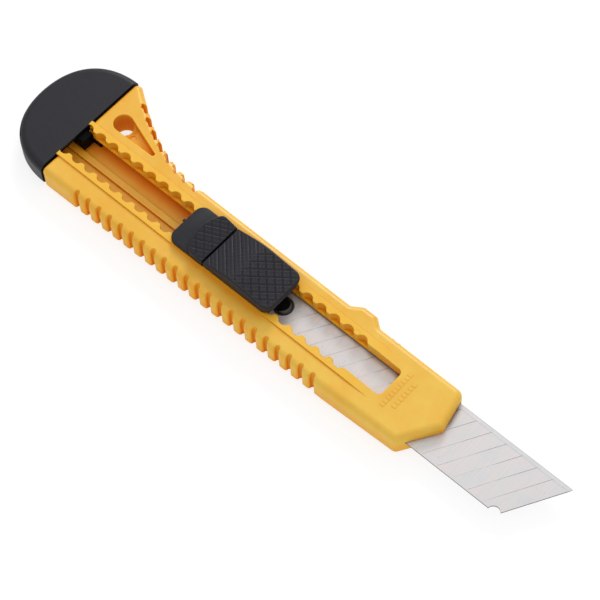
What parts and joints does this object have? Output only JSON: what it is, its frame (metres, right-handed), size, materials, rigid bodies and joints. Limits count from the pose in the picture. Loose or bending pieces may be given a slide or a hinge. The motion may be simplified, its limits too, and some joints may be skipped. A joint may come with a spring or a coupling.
{
  "type": "utility knife",
  "caption": "Snap-off utility knife with a scalloped slot, two-part thumb slider, plug-in end cap, finger grooves and a hanging hole.",
  "frame": {"origin": "on the casing's flat back face, under the centreline of the blade, halfway along the knife as drawn", "axes": "+X along the knife to the blade's point, +Y to the blade's cutting edge, +Z out of the back through the slider"},
  "size_m": [0.1893, 0.0389, 0.0138],
  "materials": {
    "casing_plastic": "semi-gloss warm yellow moulding",
    "blade_steel": "bright ground strip steel",
    "carrier_plastic": "glossy black",
    "spring_steel": "plain spring strip",
    "slider_plastic": "matte charcoal with cross-hatched grip",
    "cap_plastic": "satin charcoal"
  },
  "bodies": {
    "casing": {"casing": "casing_plastic"},
    "slider": {"blade_carrier": "carrier_plastic", "blade": "blade_steel", "slider_plate": "slider_plastic", "lock_spring": "spring_steel"},
    "thumb_pad": {"thumb_pad": "slider_plastic"},
    "end_cap": {"end_cap": "cap_plastic"}
  },
  "joints": [
    {"name": "blade_slide", "type": "slide", "parent": "casing", "child": "slider", "axis": [1, 0, 0], "range_m": [-0.0395, 0.0345]},
    {"name": "pad_release", "type": "slide", "parent": "slider", "child": "thumb_pad", "axis": [1, 0, 0], "range_m": [0, 0.0012], "stiffness_N_per_m": 1500},
    {"name": "cap_pull", "type": "slide", "parent": "casing", "child": "end_cap", "axis": [-1, 0, 0], "range_m": [0, 0.012]}
  ]
}
